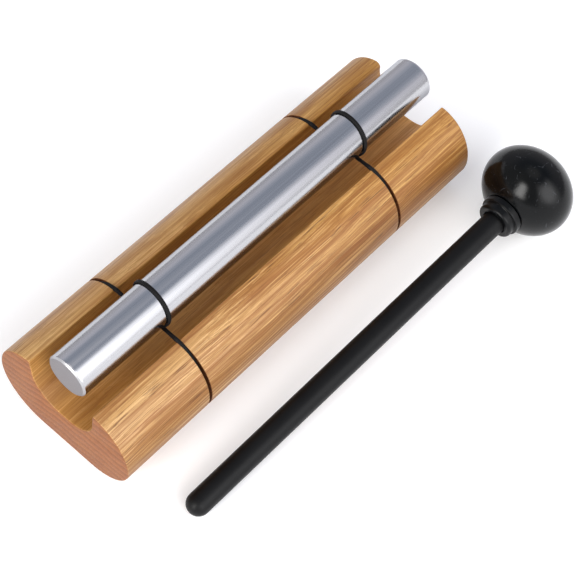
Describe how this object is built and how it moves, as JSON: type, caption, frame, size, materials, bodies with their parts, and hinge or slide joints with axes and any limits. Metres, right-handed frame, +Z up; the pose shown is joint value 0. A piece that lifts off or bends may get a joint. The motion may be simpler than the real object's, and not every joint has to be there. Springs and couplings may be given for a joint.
{
  "type": "single-rod hand chime with mallet",
  "caption": "Aluminium sounding rod held by elastic cord loops over a channelled hardwood block, with a separate ball mallet for striking it.",
  "frame": {"origin": "middle of the wood block's flat underside, on the surface that the block and the mallet stand on", "axes": "+Z up; the block, its channel and the rod run along Y; the mallet lies on the +X side with its head towards +Y"},
  "size_m": [0.1171, 0.2253, 0.058],
  "materials": {
    "oiled_hardwood": "oiled, open-grained hardwood, satin",
    "satin_aluminium": "drawn rod, polished along its length, turned ends",
    "black_elastic": "matt black elastic cord",
    "black_plastic": "fine satin black",
    "black_rubber": "moulded, semi-gloss, lightly marked"
  },
  "bodies": {
    "base": {"wood_block": "oiled_hardwood", "front_cord": "black_elastic", "rear_cord": "black_elastic", "front_cord_knot": "black_elastic", "rear_cord_knot": "black_elastic"},
    "rod": {"chime_rod": "satin_aluminium"},
    "mallet": {"mallet_handle": "black_plastic", "mallet_head": "black_rubber", "mallet_collar": "black_rubber"}
  },
  "joints": [
    {"name": "rod_bounce", "type": "slide", "parent": "base", "child": "rod", "axis": [0, 0, 1], "range_m": [-0.005, 0.004], "stiffness_N_per_m": 900, "springref_m": 0.0017, "deforming": ["front_cord", "rear_cord"]},
    {"name": "mallet_lift", "type": "slide", "parent": "base", "child": "mallet", "axis": [0, 0, 1], "range_m": [0, 0.12]}
  ]
}
